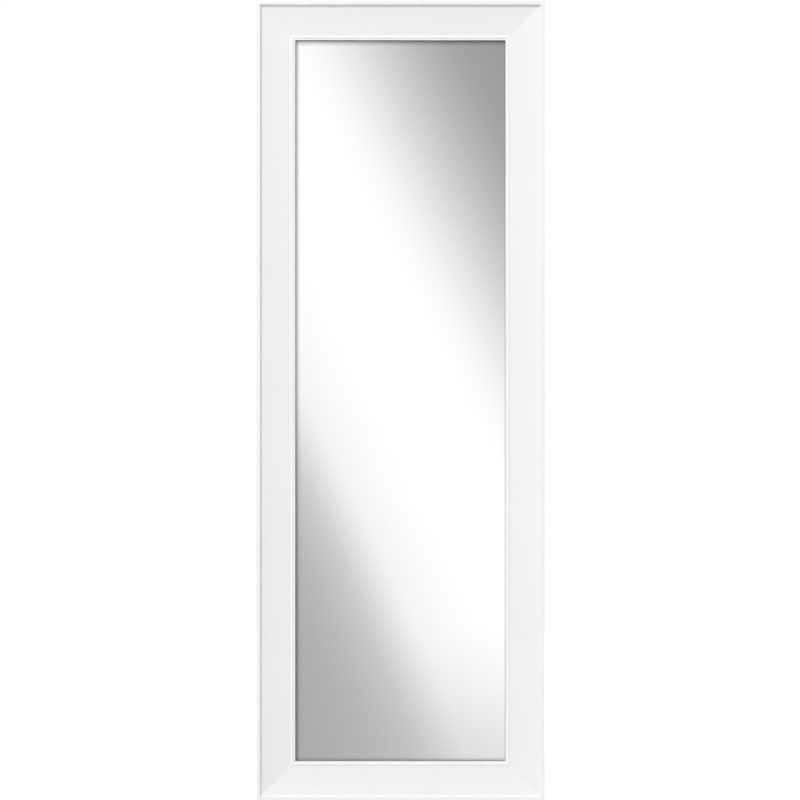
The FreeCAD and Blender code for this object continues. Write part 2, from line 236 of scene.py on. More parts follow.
@dataclass(frozen=True)
class WhiteLacquer(Finish):
    """Satin white lacquer over grained wood, with a fine linen emboss in the scoop, whose colour is a little
    darker as painted shade.
    """

    run: Run
    half_x: float
    half_z: float
    middle_z: float
    scoop: Span
    colour: Colour = (0.885, 0.885, 0.893)
    shade: Colour = (0.868, 0.868, 0.878)
    # Painted shade: the scoop's colour is multiplied down, for the fine shadows in its linen and the shade
    # of the hollow.
    scoop_painted_shade: Colour = (0.975, 0.975, 0.975)
    cloud_scale: float = 5.0
    grain_scale: Span = (900.0, 14.0)
    grain_marks: Span = (0.25, 0.75)
    grain_tone: Span = (0.5, 1.0)
    peel_scale: float = 700.0
    peel_share: float = 0.4
    thread_pitch: float = 0.0013
    thread_bend: float = 0.6
    relief: float = 0.00005
    rough: Span = (0.36, 0.46)
    index: float = 1.48

    def in_scoop(self, graph: Graph) -> Socket:
        """1 in the moulding's scoop and 0 on its beads and bands.

        Args:
            graph: The material's nodes.

        Returns:
            The share of scoop.
        """
        x, _, z = graph.split(graph.place())
        beside = graph.math("SUBTRACT", graph.math("ABSOLUTE", x), self.half_x)
        from_middle = graph.math("ABSOLUTE", graph.math("SUBTRACT", z, self.middle_z))
        outwards = graph.math("MAXIMUM", beside, graph.math("SUBTRACT", from_middle, self.half_z))
        start, end = self.scoop
        inner = graph.ease(outwards, start, start + self.thread_pitch)
        outer = graph.ease(outwards, end - self.thread_pitch, end, 1.0, 0.0)
        return graph.times(inner, outer)

    def material(self) -> bpy.types.Material:
        """Build the lacquer: cloudy white, grain along the run, linen and painted shade in the scoop and a
        slight orange peel.

        Returns:
            The material.
        """
        graph = Graph.named(f"white_lacquer_{self.run.value}")
        cloud = graph.noise(self.cloud_scale, detail=4.0)
        grain = graph.noise(self.run.stretched(*self.grain_scale), detail=4.0, roughness=0.6)
        peel = graph.noise(self.peel_scale, detail=2.0)
        scoop = self.in_scoop(graph)
        linen = graph.times(graph.weave("MULTIPLY", self.thread_pitch, self.thread_bend), scoop)
        tone = graph.times(graph.ease(cloud, *SOFT), graph.ease(grain, *self.grain_marks, *self.grain_tone))
        white = graph.mix(tone, self.shade, self.colour)
        height = graph.total((grain, 1.0), (linen, 1.0), (peel, self.peel_share))
        return graph.shaded({
            # The scoop's colour is multiplied by its painted shade.
            "Base Color": graph.mix(scoop, white, self.scoop_painted_shade, blend="MULTIPLY"),
            "Roughness": graph.ease(peel, *WIDE, *self.rough),
            "IOR": self.index,
            "Normal": graph.bump(height, self.relief),
        })


@dataclass(frozen=True)
class BareTimber(Finish):
    """Planed softwood, unpainted, as on the back of the frame.

    Its scales are across the grain and along it.
    """

    run: Run
    pith: Triple
    early: Colour = (0.67, 0.48, 0.28)
    late: Colour = (0.45, 0.27, 0.125)
    fibre: Colour = (0.56, 0.38, 0.20)
    ring_pitch: float = 0.0042
    ring_stretch: float = 0.03
    ring_lean: float = 0.55
    ring_bend: float = 4.0
    ring_bend_scale: float = 0.35
    late_marks: Span = (0.35, 0.95)
    fibre_scale: Span = (1500.0, 18.0)
    fibre_marks: Span = (0.2, 0.7)
    fibre_tone: Span = (0.15, 0.6)
    streak_scale: Span = (160.0, 3.0)
    pore_scale: Span = (2600.0, 90.0)
    pore_marks: Span = (0.62, 0.72)
    pore_share: float = 0.45
    relief: float = 0.00012
    rough: Span = (0.6, 0.8)

    def rings(self, graph: Graph) -> Socket:
        """Growth rings round the pith, which leans a little against the run.

        Args:
            graph: The material's nodes.

        Returns:
            The rings, from 0 in the early wood to 1 in the late wood.
        """
        per_metre = WAVE_LENGTH / self.ring_pitch
        axis = "X" if self.run is Run.LEVEL else "Z"
        from_pith = graph.add("VectorMath", {0: graph.place(), 1: self.pith}, operation="SUBTRACT")
        leaning = graph.add("Mapping", {
            "Vector": from_pith.outputs[0],
            "Scale": self.run.stretched(per_metre, per_metre * self.ring_stretch),
            "Rotation": (0.0, self.ring_lean, 0.0),
        })
        rings = graph.add("TexWave", {
            "Vector": leaning.outputs["Vector"],
            "Scale": 1.0,
            "Distortion": self.ring_bend,
            "Detail": 3.0,
            "Detail Scale": self.ring_bend_scale,
        }, wave_type="RINGS", rings_direction=axis)
        return rings.outputs["Fac"]

    def material(self) -> bpy.types.Material:
        """Build the wood: soft growth rings, long fibres and small pores.

        Returns:
            The material.
        """
        graph = Graph.named(f"bare_timber_{self.run.value}")
        fibres = graph.noise(self.run.stretched(*self.fibre_scale), detail=5.0, roughness=0.7)
        streaks = graph.noise(self.run.stretched(*self.streak_scale), detail=4.0, roughness=0.6)
        specks = graph.noise(self.run.stretched(*self.pore_scale), detail=2.0)
        pores = graph.ease(specks, *self.pore_marks)
        broken = graph.ease(fibres, *self.fibre_marks, *self.fibre_tone)
        late = graph.times(graph.ease(self.rings(graph), *self.late_marks), broken)
        ground = graph.mix(graph.ease(streaks, *SOFT), self.early, self.fibre)
        ringed = graph.mix(late, ground, self.late)
        return graph.shaded({
            "Base Color": graph.mix(graph.times(pores, self.pore_share), ringed, self.late),
            "Roughness": graph.ease(fibres, *WIDE, *self.rough),
            "Normal": graph.bump(graph.math("SUBTRACT", fibres, pores), self.relief),
        })


@dataclass(frozen=True)
class Silvering(Finish):
    """Silver on the back of the glass, with a painted shade: a soft dark line beside each side of the frame,
    strongest at the left and top, as the frame's shadow from a light at the upper left.

    A line is the share of light that comes back at the edge, and how wide the line is; each line is painted
    shade.
    """

    half_x: float
    half_z: float
    middle_z: float
    # Painted shade: each side's dark line, deepest and widest at the left and top, as the frame's shadow
    # from the upper left.
    left: Span = (0.22, 0.0105)
    right: Span = (0.76, 0.0040)
    bottom: Span = (0.50, 0.0085)
    top: Span = (0.25, 0.0125)
    colour: Colour = (0.96, 0.96, 0.96)
    cloud_scale: float = 6.0
    cloud_tone: Span = (0.992, 1.0)

    def material(self) -> bpy.types.Material:
        """Build the silver, with its four lines of painted shade beside the frame and a faint cloudiness.

        Returns:
            The material.
        """
        graph = Graph.named("silvering")
        x, _, z = graph.split(graph.place())
        painted_shade_lines = (
            (graph.math("ADD", x, self.half_x), self.left),
            (graph.math("SUBTRACT", self.half_x, x), self.right),
            (graph.math("SUBTRACT", z, self.middle_z - self.half_z), self.bottom),
            (graph.math("SUBTRACT", self.middle_z + self.half_z, z), self.top),
        )
        # The painted shade starts behind the frame, so the edge is halfway through it.
        painted_edge_shade = [graph.ease(inside, -width, width, 2 * share - 1, 1.0) for inside, (share, width) in painted_shade_lines]
        cloud = graph.ease(graph.noise(self.cloud_scale), *WIDE, *self.cloud_tone)
        return graph.shaded({
            # The silver's colour, darkened towards black by the painted shade along the frame.
            "Base Color": graph.mix(graph.times(*painted_edge_shade, cloud), BLACK, self.colour),
            "Metallic": 1.0,
            "Roughness": 0.0,
        })


@dataclass(frozen=True)
class ClearGlass(Finish):
    """Float glass with a faint green cast."""

    tint: Colour = (0.984, 0.987, 0.986)
    clear: Colour = (0.991, 0.994, 0.993)
    cloud_scale: float = 4.0
    index: float = 1.52

    def material(self) -> bpy.types.Material:
        """Build the glass, its tint a little uneven.

        Returns:
            The material.
        """
        graph = Graph.named("clear_glass")
        cloud = graph.ease(graph.noise(self.cloud_scale), *WIDE)
        return graph.shaded({
            "Base Color": graph.mix(cloud, self.tint, self.clear),
            "Roughness": 0.0,
            "IOR": self.index,
            "Transmission Weight": 1.0,
        })


@dataclass(frozen=True)
class PlatedSteel(Finish):
    """Steel under a thin bright or dark plating."""

    name: str
    light: Colour
    dark: Colour
    rough: Span
    cloud_scale: float = 160.0
    cloud_share: float = 0.7
    crystal_scale: float = 1800.0
    scratch_scale: Triple = (240.0, 240.0, 5200.0)
    relief: float = 0.00001

    def material(self) -> bpy.types.Material:
        """Build the plating: cloudy patches, fine crystals and rubbed scratches.

        Returns:
            The material.
        """
        graph = Graph.named(self.name)
        cloud = graph.noise(self.cloud_scale, detail=4.0)
        crystals = graph.noise(self.crystal_scale, detail=2.0)
        scratches = graph.noise(self.scratch_scale, roughness=0.6)
        tone = graph.total((cloud, self.cloud_share), (crystals, 1.0 - self.cloud_share))
        return graph.shaded({
            "Base Color": graph.mix(graph.ease(tone, *SOFT), self.light, self.dark),
            "Metallic": 1.0,
            "Roughness": graph.ease(cloud, *SOFT, *self.rough),
            "Normal": graph.bump(graph.math("ADD", crystals, scratches), self.relief),
        })


@dataclass(frozen=True)
class Hardboard(Finish):
    """Brown pressed fibre, its back marked by the wire screen of the press."""

    light: Colour = (0.36, 0.22, 0.115)
    dark: Colour = (0.21, 0.12, 0.06)
    screen_pitch: float = 0.0022
    screen_shade: float = -0.25
    cloud_scale: float = 7.0
    cloud_share: float = 0.2
    fleck_scale: Triple = (170.0, 170.0, 60.0)
    fleck_share: float = 0.35
    fibre_scale: Triple = (900.0, 900.0, 260.0)
    fibre_share: float = 0.45
    fibre_height: float = 0.5
    relief: float = 0.00025
    rough: Span = (0.68, 0.85)

    def material(self) -> bpy.types.Material:
        """Build the board: a screen print, stray fibres and cloudy colour.

        Returns:
            The material.
        """
        graph = Graph.named("hardboard")
        screen = graph.weave("MULTIPLY", self.screen_pitch)
        cloud = graph.noise(self.cloud_scale, detail=6.0, roughness=0.7)
        flecks = graph.noise(self.fleck_scale, detail=4.0, roughness=0.75)
        fibres = graph.noise(self.fibre_scale, detail=5.0, roughness=0.7)
        tone = graph.total((cloud, self.cloud_share), (flecks, self.fleck_share), (fibres, self.fibre_share))
        shade = graph.total((graph.ease(tone, *SOFT), 1.0), (screen, self.screen_shade))
        height = graph.total((screen, 1.0), (fibres, self.fibre_height))
        return graph.shaded({
            "Base Color": graph.mix(shade, self.dark, self.light),
            "Roughness": graph.ease(fibres, *WIDE, *self.rough),
            "Normal": graph.bump(height, self.relief),
        })


@dataclass(frozen=True)
class Rubber(Finish):
    """Moulded rubber with a matt, slightly dusty skin."""

    name: str
    colour: Colour
    dust: Colour
    dust_scale: float = 120.0
    dust_marks: Span = (0.35, 0.75)
    skin_scale: float = 2600.0
    relief: float = 0.00003
    rough: Span = (0.6, 0.78)

    def material(self) -> bpy.types.Material:
        """Build the rubber: fine moulding texture under a film of dust.

        Returns:
            The material.
        """
        graph = Graph.named(self.name)
        cloud = graph.noise(self.dust_scale, detail=4.0)
        skin = graph.noise(self.skin_scale, detail=2.0)
        return graph.shaded({
            "Base Color": graph.mix(graph.ease(cloud, *self.dust_marks), self.colour, self.dust),
            "Roughness": graph.ease(skin, *WIDE, *self.rough),
            "Normal": graph.bump(skin, self.relief),
        })


@dataclass(frozen=True)
class Woven(Finish):
    """Close-woven cloth tape."""

    colour: Colour = (0.012, 0.012, 0.013)
    lit: Colour = (0.035, 0.035, 0.038)
    thread_pitch: float = 0.0006
    relief: float = 0.0001
    rough: Span = (0.9, 0.75)

    def material(self) -> bpy.types.Material:
        """Build the weave from two sets of threads.

        Returns:
            The material.
        """
        graph = Graph.named("black_cloth_tape")
        weave = graph.weave("MAXIMUM", self.thread_pitch)
        return graph.shaded({
            "Base Color": graph.mix(weave, self.colour, self.lit),
            "Roughness": graph.ease(weave, 0.0, 1.0, *self.rough),
            "Normal": graph.bump(weave, self.relief),
        })


@dataclass(frozen=True)
class Card(Finish):
    """Brown packing card with a faint fluting."""

    light: Colour = (0.50, 0.36, 0.22)
    dark: Colour = (0.38, 0.26, 0.15)
    flute_pitch: float = 0.004
    flute_share: float = 0.4
    fibre_scale: float = 700.0
    relief: float = 0.0001
    rough: Span = (0.75, 0.9)

    def material(self) -> bpy.types.Material:
        """Build the card: flutes that show through, and paper fibre.

        Returns:
            The material.
        """
        graph = Graph.named("interleaf_card")
        flutes = graph.stripes(self.flute_pitch, "X")
        fibres = graph.noise(self.fibre_scale, detail=5.0, roughness=0.65)
        tone = graph.total((flutes, self.flute_share), (fibres, 1.0 - self.flute_share))
        return graph.shaded({
            "Base Color": graph.mix(graph.ease(tone, *WIDE), self.dark, self.light),
            "Roughness": graph.ease(fibres, *WIDE, *self.rough),
            "Normal": graph.bump(tone, self.relief),
        })


ZINC = PlatedSteel("zinc_plated_steel", (0.70, 0.71, 0.73), (0.56, 0.57, 0.60), (0.24, 0.42))
BLUED = PlatedSteel("blued_steel", (0.17, 0.18, 0.21), (0.10, 0.10, 0.12), (0.35, 0.5))
GREY_RUBBER = Rubber("grey_rubber", (0.13, 0.13, 0.135), (0.19, 0.19, 0.19))
PACKING_RUBBER = Rubber("packing_rubber", (0.025, 0.025, 0.027), (0.05, 0.05, 0.05))


@dataclass
class Outline:
    """A flat outline as points, drawn with straight runs and arcs."""

    points: list[Vector]

    @classmethod
    def start(cls, *spots: Spot) -> "Outline":
        """Start with straight runs from spot to spot."""
        return cls([Vector(spot) for spot in spots])

    def run(self, *spots: Spot) -> None:
        """Run straight from spot to spot."""
        self.points += [Vector(spot) for spot in spots]

    def close(self) -> None:
        """Run straight back to the start."""
        self.run(self.points[0])

    def arc_round(self, centre: Spot, angle: float, steps: int) -> None:
        """Turn about a centre.

        Args:
            centre: The centre of the arc.
            angle: How far to turn, in radians, with the left-hand turn positive.
            steps: How many straight steps make the arc.
        """
        middle = Vector(centre)
        spoke = self.points[-1] - middle
        for step in range(1, steps + 1):
            self.run(middle + Matrix.Rotation(angle * step / steps, 2) @ spoke)

    def arc_to(self, middle: Spot, end: Spot, steps: int) -> None:
        """Draw the arc that passes through a middle point on its way to an end point.

        Args:
            middle: A point on the arc.
            end: Where the arc ends.
            steps: How many straight steps make the arc.
        """
        start = self.points[-1]
        first, second = Vector(middle) - start, Vector(end) - start
        cross = first.x * second.y - first.y * second.x
        along = first.length_squared * second - second.length_squared * first
        spoke = Vector((along.y, -along.x)) / (2 * cross)
        to_start, to_end = -spoke, second - spoke
        sweep = math.atan2(to_start.x * to_end.y - to_start.y * to_end.x, to_start.dot(to_end))
        if sweep * cross < 0:
            sweep += math.copysign(FULL_TURN, cross)
        self.arc_round(start + spoke, sweep, steps)
        self.points[-1] = Vector(end)

    def round_at(self, corner: Spot, after: Spot, radius: float, steps: int) -> None:
        """Run towards a corner and round it.

        Args:
            corner: The sharp corner.
            after: The next point after the corner.
            radius: The radius of the round.
            steps: How many straight steps make the round.
        """
        sharp = Vector(corner)
        back = (self.points[-1] - sharp).normalized()
        onward = (Vector(after) - sharp).normalized()
        half_angle = back.angle(onward) / 2
        bisector = (back + onward).normalized()
        self.run(sharp + back * (radius / math.tan(half_angle)))
        hand = 1 if back.x * onward.y - back.y * onward.x < 0 else -1
        centre = sharp + bisector * (radius / math.sin(half_angle))
        self.arc_round(centre, hand * (math.pi - 2 * half_angle), steps)

    def laid(self, corner: Vector, first: Vector, second: Vector) -> list[Vector]:
        """The points in space, on the plane that runs two ways from a corner."""
        return [corner + first * point.x + second * point.y for point in self.points]


class Workpiece:
    """One mesh on the bench, shaped with edit-mode tools."""

    def __init__(self, piece: bpy.types.Object) -> None:
        """Take up a mesh object."""
        self.piece = piece

    @classmethod
    def begun(cls, name: str) -> "Workpiece":
        """Take up the primitive that was just added, with its place put in its mesh.

        Args:
            name: The new piece's name.

        Returns:
            The piece.
        """
        work = cls(bpy.context.object)
        work.piece.name = name
        bpy.ops.object.transform_apply(location=True, rotation=True, scale=True)
        return work

    @classmethod
    def drawn(cls, name: str, points: Sequence[Vector]) -> "Workpiece":
        """Draw a line of edges from point to point.

        Args:
            name: The new piece's name.
            points: The points of the line.

        Returns:
            The piece.
        """
        # The first point is a corner of a plane a metre wide, whose other corners go.
        to_middle = Vector((0.5, 0.5, 0.0))
        bpy.ops.object.select_all(action="DESELECT")
        bpy.ops.mesh.primitive_plane_add(size=1.0, location=points[0] + to_middle)
        work = cls.begun(name)
        with work.editing(Pick.VERT):
            work.select(Pick.VERT, lambda vert: (vert.co - points[0]).length > to_middle.x)
            bpy.ops.mesh.delete(type="VERT")
            bpy.ops.mesh.select_all(action="SELECT")
            for here, there in zip(points, points[1:]):
                bpy.ops.mesh.extrude_vertices_move(TRANSFORM_OT_translate={"value": there - here})
        return work

    @classmethod
    def ring(cls, name: str, centre: Vector, axis: Vector, radius: float, count: int) -> "Workpiece":
        """Start from a ring of edges.

        Args:
            name: The new piece's name.
            centre: The ring's centre.
            axis: The way that the ring faces.
            radius: Its radius.
            count: How many edges it has.

        Returns:
            The piece.
        """
        bpy.ops.object.select_all(action="DESELECT")
        turn = axis.to_track_quat("Z", "Y").to_euler()
        bpy.ops.mesh.primitive_circle_add(vertices=count, radius=radius, location=centre, rotation=turn)
        return cls.begun(name)

    def take_up(self) -> None:
        """Select this piece alone."""
        bpy.ops.object.select_all(action="DESELECT")
        self.piece.select_set(True)
        bpy.context.view_layer.objects.active = self.piece

    @contextmanager
    def editing(self, pick: Pick) -> Iterator[None]:
        """Edit mode on this piece alone, with all of it selected.

        Args:
            pick: Whether points, edges or faces are picked.

        Yields:
            Nothing.
        """
        self.take_up()
        bpy.ops.object.mode_set(mode="EDIT")
        bpy.ops.mesh.select_mode(type=pick.name)
        bpy.ops.mesh.select_all(action="SELECT")
        yield
        bpy.ops.object.mode_set(mode="OBJECT")

    def select(self, pick: Pick, wanted: Callable[..., bool]) -> None:
        """Select the points, edges or faces that are wanted, and nothing else.

        Args:
            pick: Which of the three it picks from.
            wanted: Whether one of them is wanted.
        """
        bpy.ops.mesh.select_all(action="DESELECT")
        mesh = bmesh.from_edit_mesh(self.piece.data)
        for item in getattr(mesh, pick.value):
            item.select_set(wanted(item))
        mesh.select_flush_mode()
        bmesh.update_edit_mesh(self.piece.data)

    def close(self, reach: float = MERGE_REACH) -> None:
        """Merge doubled points and turn all faces outwards.

        Args:
            reach: How near to each other doubled points lie.
        """
        with self.editing(Pick.VERT):
            bpy.ops.mesh.remove_doubles(threshold=reach)
            bpy.ops.mesh.normals_make_consistent(inside=False)

    def pull(self, step: Vector) -> None:
        """Extrude every edge by a step."""
        with self.editing(Pick.EDGE):
            bpy.ops.mesh.extrude_edges_move(TRANSFORM_OT_translate={"value": step})

    def fill(self) -> None:
        """Put a face across the outline."""
        with self.editing(Pick.EDGE):
            bpy.ops.mesh.remove_doubles(threshold=MERGE_REACH)
            bpy.ops.mesh.edge_face_add()

    def thicken(self, step: Vector) -> None:
        """Fill the outline and extrude it to a closed block.

        Args:
            step: How far, and which way.
        """
        self.fill()
        with self.editing(Pick.FACE):
            bpy.ops.mesh.extrude_region_move(TRANSFORM_OT_translate={"value": step})
        self.close()

    def turn_round(self, steps: int) -> None:
        """Spin everything through a full turn about the Y axis, and close the seam.

        Args:
            steps: How many steps make the turn.
        """
        with self.editing(Pick.VERT):
            bpy.ops.mesh.spin(steps=steps, angle=FULL_TURN, center=ORIGIN, axis=BACK)
        self.close()

    def cut(self, place: Vector, normal: Vector, clear: bool = True) -> None:
        """Cut along a plane.

        Args:
            place: A point on the plane.
            normal: The way that the plane faces.
            clear: Whether what lies on the normal's side goes, and the cut gets a face.
        """
        with self.editing(Pick.FACE):
            bpy.ops.mesh.bisect(
                plane_co=place, plane_no=normal, use_fill=clear, clear_outer=clear, threshold=MERGE_REACH
            )

    def modify(self, kind: str, **settings: Union[float, int, str, bool, bpy.types.Object]) -> None:
        """Add a modifier and apply it.

        Args:
            kind: The modifier's Blender type.
            settings: Its settings.
        """
        modifier = self.piece.modifiers.new(kind.lower(), kind)
        for name, value in settings.items():
            setattr(modifier, name, value)
        self.take_up()
        bpy.ops.object.modifier_apply(modifier=modifier.name)

    def ease_edges(self, width: float, segments: int) -> None:
        """Bevel all sharp edges to a width, in some segments."""
        self.modify("BEVEL", width=width, segments=segments, limit_method="ANGLE", angle_limit=SHARP_EDGE)

    def carve(self, cutter: "Workpiece") -> None:
        """Cut another piece's shape out of this one, and clear the cutter away."""
        self.modify("BOOLEAN", operation="DIFFERENCE", solver="EXACT", object=cutter.piece)
        bpy.data.objects.remove(cutter.piece)

    def drill(self, start: Vector, radius: float, depth: float) -> None:
        """Drill a round hole along Y.

        Args:
            start: The middle of the hole, where the drill starts.
            radius: The hole's radius.
            depth: How far the drill goes.
        """
        drill = Workpiece.ring("drill", start, BACK, radius, count=32)
        drill.thicken(BACK * depth)
        self.carve(drill)

    def soften(self, angle: float = 30.0) -> None:
        """Smooth the shading across edges that are flatter than an angle, and keep broad faces flat.

        Args:
            angle: The angle, in degrees.
        """
        self.take_up()
        bpy.ops.object.shade_smooth_by_angle(angle=math.radians(angle))
        self.modify("WEIGHTED_NORMAL", keep_sharp=True)

    def copied(self, name: str, move: Matrix) -> "Workpiece":
        """A copy in another place, with a mesh of its own.

        Args:
            name: The copy's name.
            move: Where it goes.

        Returns:
            The copy.
        """
        piece = self.piece.copy()
        piece.data = self.piece.data.copy()
        piece.name = name
        piece.data.transform(move)
        bpy.context.scene.collection.objects.link(piece)
        return Workpiece(piece)

    def scattered(self, name: str, moves: Sequence[Matrix]) -> "Workpiece":
        """Copies in several places, joined in one piece. This one is cleared away.

        Args:
            name: The joined piece's name.
            moves: Where each copy goes.

        Returns:
            The joined piece.
        """
        copies = [self.copied(f"{name}_{number}", move) for number, move in enumerate(moves)]
        bpy.data.objects.remove(self.piece)
        copies[0].take_up()
        for copy in copies:
            copy.piece.select_set(True)
        bpy.ops.object.join()
        copies[0].piece.name = name
        return copies[0]

    def dress(self, *finishes: Finish) -> None:
        """Give the piece its materials, one finish to each slot.

        Args:
            finishes: The finish of each material slot.
        """
        self.piece.data.materials.clear()
        for finish in finishes:
            self.piece.data.materials.append(finish.made())

    def finished(self, finish: Finish, angle: float = 30.0) -> "Workpiece":
        """Dress the piece in one finish, and soften it.

        Args:
            finish: The finish.
            angle: The angle to soften it at, in degrees.

        Returns:
            The piece.
        """
        self.dress(finish)
        self.soften(angle)
        return self

    def deliver(self, body: str, slot: str, *nodes: str) -> None:
        """Ride the piece on its body in place of the CAD nodes it stands for.

        Args:
            body: The body's name.
            slot: The record's material slot; not used.
            nodes: The CAD nodes.
        """
        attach(self.piece, body)
        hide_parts(*nodes)
        log.info("%s rides on %s in place of %s", self.piece.name, body, ", ".join(nodes))


def dress_node(node: str, finish: Finish) -> None:
    """Give a CAD node that stays a better material.

    Args:
        node: The node's name.
        finish: Its finish.
    """
    for slot in frame["nodes"][node].material_slots:
        slot.material = finish.made()
    log.info("%s keeps its CAD shape", node)


def hinged(start: str) -> list[tuple[str, Vector]]:
    """The bodies whose names start in one way, each with the place of its joint."""
    joints = [joint for joint in frame["joints"] if joint["child"].startswith(start)]
    return [(joint["child"], Vector(joint["pos_m"])) for joint in joints]


@dataclass
class MouldedFrame:
    """The four mitred sides of the frame, and the V-nails in their corners."""

    lip_width: float = 0.0026
    lip_thickness: float = 0.0044
    sight_round: float = 0.0004
    bead_width: float = 0.0056
    bead_rise: float = 0.0012
    scoop_foot_rise: float = 0.0003
    scoop_sag: float = 0.0007
    step_width: float = 0.0012
    step_rise: float = 0.0049
    band_width: float = 0.007
    band_round: float = 0.001
    edge_round: float = 0.0008
    back_ease: float = 0.001
    mitre_ease: float = 0.00014
    mitre_waste: float = 1.2
    nail_leg: float = 0.008
    nail_thickness: float = 0.0008
    nail_ease: float = 0.0001
    nail_depth: float = 0.0098
    nail_proud: float = 0.0002
    nail_spread: float = 110.0
    nail_inner_setback: float = 0.020
    nail_outer_setback: float = 0.022
    pith_depth: float = 0.034
    slot: str = "white_lacquered_wood"

    def __post_init__(self) -> None:
        """Read the moulding's place and outer sizes from the CAD nodes."""
        stile_low, stile_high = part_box("frame_left_stile")
        tape_low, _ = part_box("glazing_tape_left")
        sight_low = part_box("frame_bottom_rail")[1].z
        sight_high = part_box("frame_top_rail")[0].z
        self.width = stile_high.x - stile_low.x
        self.depth = stile_high.y - stile_low.y
        self.back = stile_high.y
        self.half_x = -stile_high.x
        self.half_z = (sight_high - sight_low) / 2
        self.middle_z = (sight_high + sight_low) / 2
        self.rebate_width = -tape_low.x - self.half_x
        self.rebate_depth = self.back - tape_low.y
        self.scoop_start = self.lip_width + self.bead_width
        self.scoop_end = self.width - self.band_width - self.step_width

    def section(self) -> Outline:
        """Draw the moulding's section: outwards from the sight edge, and up from the back.

        Returns:
            The section's outline.
        """
        lip_front = self.rebate_depth + self.lip_thickness
        bead_crown = (self.lip_width + self.bead_width / 2, lip_front + self.bead_rise)
        scoop_foot = Vector((self.scoop_start, lip_front + self.scoop_foot_rise))
        scoop_top = Vector((self.scoop_end, self.depth - self.step_rise))
        scoop_middle = (scoop_foot + scoop_top) / 2 - Vector((0.0, self.scoop_sag))
        band_corner = (self.width - self.band_width, self.depth)
        outer_corner = (self.width, self.depth)
        outline = Outline.start((self.rebate_width, 0.0))
        outline.run((self.rebate_width, self.rebate_depth), (0.0, self.rebate_depth))
        outline.round_at((0.0, lip_front), (self.lip_width, lip_front), self.sight_round, steps=6)
        outline.run((self.lip_width, lip_front))
        outline.arc_to(bead_crown, scoop_foot, steps=18)
        outline.arc_to(scoop_middle, scoop_top, steps=28)
        outline.round_at(band_corner, outer_corner, self.band_round, steps=6)
        outline.round_at(outer_corner, (self.width, 0.0), self.edge_round, steps=8)
        outline.run((self.width, self.back_ease), (self.width - self.back_ease, 0.0))
        outline.close()
        return outline

    def side(self, name: str, run: Run) -> Workpiece:
        """Run the moulding along the bottom or the left side and mitre its ends.

        Args:
            name: The piece's name.
            run: LEVEL for the bottom, UPRIGHT for the left side.

        Returns:
            The finished side.
        """
        level = run is Run.LEVEL
        along, outwards = (ACROSS, -UP) if level else (UP, -ACROSS)
        half_along, half_across = (self.half_x, self.half_z) if level else (self.half_z, self.half_x)
        reach = half_along + self.mitre_waste * self.width
        sight = Vector((0, self.back, self.middle_z)) + outwards * half_across
        work = Workpiece.drawn(name, self.section().laid(sight - along * reach, outwards, -BACK))
        work.close()
        work.pull(along * (2 * reach))
        for hand in (-1, 1):
            work.cut(sight + along * (hand * half_along), along * hand - outwards)
        work.close()
        with work.editing(Pick.FACE):
            work.select(Pick.FACE, lambda face: abs(face.normal.x * face.normal.z) > NEAR)
            bpy.ops.mesh.region_to_loop()
            bpy.ops.mesh.bevel(offset=self.mitre_ease, segments=1, affect="EDGES", clamp_overlap=True)
        pith = sight + outwards * (self.width / 2) - BACK * self.pith_depth
        scoop = (self.scoop_start, self.scoop_end)
        lacquer = WhiteLacquer(run, self.half_x, self.half_z, self.middle_z, scoop)
        work.dress(lacquer, BareTimber(run, tuple(pith)))

        def is_bare(face: bmesh.types.BMFace) -> bool:
            """Whether a face has no lacquer.

            Args:
                face: The face.

            Returns:
                True on the back, in the rebate and in a mitre, but not on a mitre's eased front edge.
            """
            place, normal = face.calc_center_median(), face.normal
            behind_lip = place.y > self.back - self.rebate_depth + MERGE_REACH
            in_rebate = behind_lip and (place - sight).dot(outwards) < self.rebate_width + MERGE_REACH
            slants = abs(normal.x * normal.z) > NEAR and abs(abs(normal.x) - abs(normal.z)) < NEAR
            return normal.y > 1 - NEAR or in_rebate or (slants and normal.y > -NEAR)

        with work.editing(Pick.FACE):
            work.select(Pick.FACE, is_bare)
            work.piece.active_material_index = 1
            bpy.ops.object.material_slot_assign()
        work.soften()
        return work

    def v_nails(self) -> Workpiece:
        """Fold a V-nail and drive two into each corner, standing just proud of the back.

        Returns:
            All the nails.
        """
        half_spread = math.radians(self.nail_spread / 2)
        fold = BACK * (self.back + self.nail_proud)
        leg_up = UP * (math.cos(half_spread) * self.nail_leg)
        leg_out = ACROSS * (math.sin(half_spread) * self.nail_leg)
        nail = Workpiece.drawn("v_nail", [fold + leg_up - leg_out, fold, fold + leg_up + leg_out])
        nail.pull(BACK * (-self.nail_depth - self.nail_proud))
        nail.close()
        nail.modify("SOLIDIFY", thickness=self.nail_thickness, offset=0.0)
        nail.ease_edges(self.nail_ease, segments=2)
        places = (self.rebate_width + self.nail_inner_setback, self.width - self.nail_outer_setback)
        moves = []
        for side, end in ((-1, -1), (-1, 1), (1, 1), (1, -1)):
            turn = Matrix.Rotation(math.atan2(-side, -end), 4, "Y")
            for place in places:
                point = (side * (self.half_x + place), 0, self.middle_z + end * (self.half_z + place))
                moves.append(Matrix.Translation(point) @ turn)
        return nail.scattered("v_nails", moves).finished(BLUED)

    def build(self) -> None:
        """Build all four sides and the nails."""
        half_turn = Matrix.Translation((0, 0, 2 * self.middle_z)) @ Matrix.Rotation(math.pi, 4, "Y")
        bottom = self.side("bottom_rail", Run.LEVEL)
        left = self.side("left_stile", Run.UPRIGHT)
        top = bottom.copied("top_rail", half_turn)
        right = left.copied("right_stile", half_turn)
        for side in (bottom, left, top, right):
            side.deliver("frame", self.slot, f"frame_{side.piece.name}")
        self.v_nails().deliver("frame", "blued_steel", "corner_v_nails")


